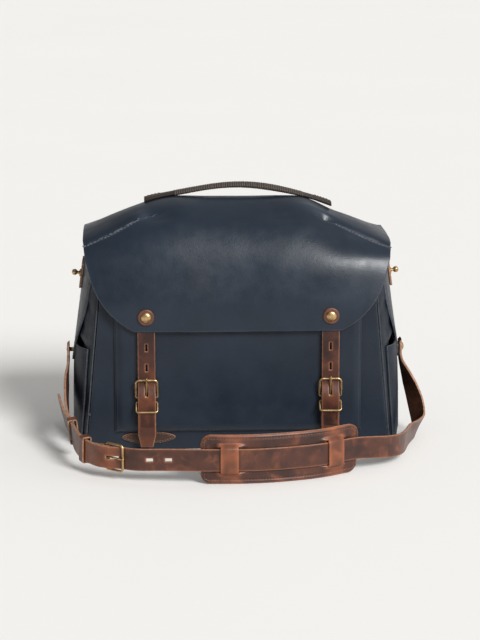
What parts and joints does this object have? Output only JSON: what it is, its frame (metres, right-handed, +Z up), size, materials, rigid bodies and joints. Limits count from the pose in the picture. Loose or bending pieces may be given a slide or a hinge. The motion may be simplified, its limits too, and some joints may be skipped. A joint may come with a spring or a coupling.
{
  "type": "messenger bag",
  "caption": "Leather messenger bag with a drop flap, buckled closures, a patch pocket, side pockets, a top handle and a padded shoulder strap.",
  "frame": {"origin": "middle of the base's underside, where the bag stands", "axes": "+X towards the end on the right of someone facing the flap, -Y towards the front with the flap and the buckles, +Z up"},
  "size_m": [0.4344, 0.2913, 0.301],
  "materials": {
    "navy_leather": "semi-gloss smooth leather",
    "brown_leather": "waxed pull-up leather",
    "antique_brass": "antique, satin",
    "stiffener_board": "pressed fibre board",
    "rope_core": "twisted cord"
  },
  "bodies": {
    "bag": {"front_panel": "navy_leather", "back_panel": "navy_leather", "base_panel": "navy_leather", "base_board": "stiffener_board", "yoke": "navy_leather", "front_pocket": "navy_leather", "handle_cover": "brown_leather", "handle_core": "rope_core", "left_gusset": "navy_leather", "left_side_pocket": "navy_leather", "left_side_wing": "navy_leather", "left_stud_tab": "brown_leather", "left_stud": "antique_brass", "left_anchor_rivet": "antique_brass", "left_anchor_patch": "brown_leather", "left_snap_post": "antique_brass", "right_gusset": "navy_leather", "right_side_pocket": "navy_leather", "right_side_wing": "navy_leather", "right_stud_tab": "brown_leather", "right_stud": "antique_brass", "right_anchor_rivet": "antique_brass", "right_anchor_patch": "brown_leather", "right_snap_post": "antique_brass"},
    "flap": {"flap_panel": "navy_leather", "left_closure_strap": "brown_leather", "left_buckle_tab": "brown_leather", "left_rivet_washer": "brown_leather", "left_flap_rivet": "antique_brass", "left_snap_socket": "antique_brass", "right_closure_strap": "brown_leather", "right_buckle_tab": "brown_leather", "right_rivet_washer": "brown_leather", "right_flap_rivet": "antique_brass", "right_snap_socket": "antique_brass"},
    "left_buckle": {"left_buckle_frame": "antique_brass"},
    "left_tongue": {"left_buckle_tongue": "antique_brass"},
    "left_keeper": {"left_wire_keeper": "antique_brass"},
    "right_buckle": {"right_buckle_frame": "antique_brass"},
    "right_tongue": {"right_buckle_tongue": "antique_brass"},
    "right_keeper": {"right_wire_keeper": "antique_brass"},
    "shoulder_strap": {"strap_long": "brown_leather", "strap_short": "brown_leather", "strap_keeper_lower": "brown_leather", "strap_keeper_upper": "brown_leather", "shoulder_pad_backing": "brown_leather", "shoulder_pad_top": "brown_leather"},
    "strap_buckle": {"strap_buckle_frame": "antique_brass"},
    "strap_tongue": {"strap_buckle_tongue": "antique_brass"}
  },
  "joints": [
    {"name": "flap_hinge", "type": "hinge", "parent": "bag", "child": "flap", "pos_m": [0, -0.006, 0.285], "axis": [-1, 0, 0], "range_deg": [0, 105]},
    {"name": "left_buckle_pivot", "type": "hinge", "parent": "flap", "child": "left_buckle", "pos_m": [-0.1055, -0.0834, 0.0659], "axis": [1, 0, 0], "range_deg": [0, 8]},
    {"name": "left_tongue_pivot", "type": "hinge", "parent": "left_buckle", "child": "left_tongue", "pos_m": [-0.1055, -0.0834, 0.0659], "axis": [1, 0, 0], "range_deg": [0, 8]},
    {"name": "left_keeper_pivot", "type": "hinge", "parent": "flap", "child": "left_keeper", "pos_m": [-0.1055, -0.08295, 0.0597], "axis": [-1, 0, 0], "range_deg": [0, 40]},
    {"name": "right_buckle_pivot", "type": "hinge", "parent": "flap", "child": "right_buckle", "pos_m": [0.1055, -0.0834, 0.0659], "axis": [1, 0, 0], "range_deg": [0, 8]},
    {"name": "right_tongue_pivot", "type": "hinge", "parent": "right_buckle", "child": "right_tongue", "pos_m": [0.1055, -0.0834, 0.0659], "axis": [1, 0, 0], "range_deg": [0, 8]},
    {"name": "right_keeper_pivot", "type": "hinge", "parent": "flap", "child": "right_keeper", "pos_m": [0.1055, -0.08295, 0.0597], "axis": [-1, 0, 0], "range_deg": [0, 40]},
    {"name": "shoulder_strap_pivot", "type": "hinge", "parent": "bag", "child": "shoulder_strap", "pos_m": [0, 0, 0.104], "axis": [-1, 0, 0], "range_deg": [0, 205]},
    {"name": "strap_buckle_pivot", "type": "hinge", "parent": "shoulder_strap", "child": "strap_buckle", "pos_m": [-0.15, -0.187, 0.0265], "axis": [0, 0, -1], "range_deg": [0, 8]},
    {"name": "strap_tongue_pivot", "type": "hinge", "parent": "strap_buckle", "child": "strap_tongue", "pos_m": [-0.15, -0.187, 0.0265], "axis": [0, 0, -1], "range_deg": [0, 8]}
  ]
}
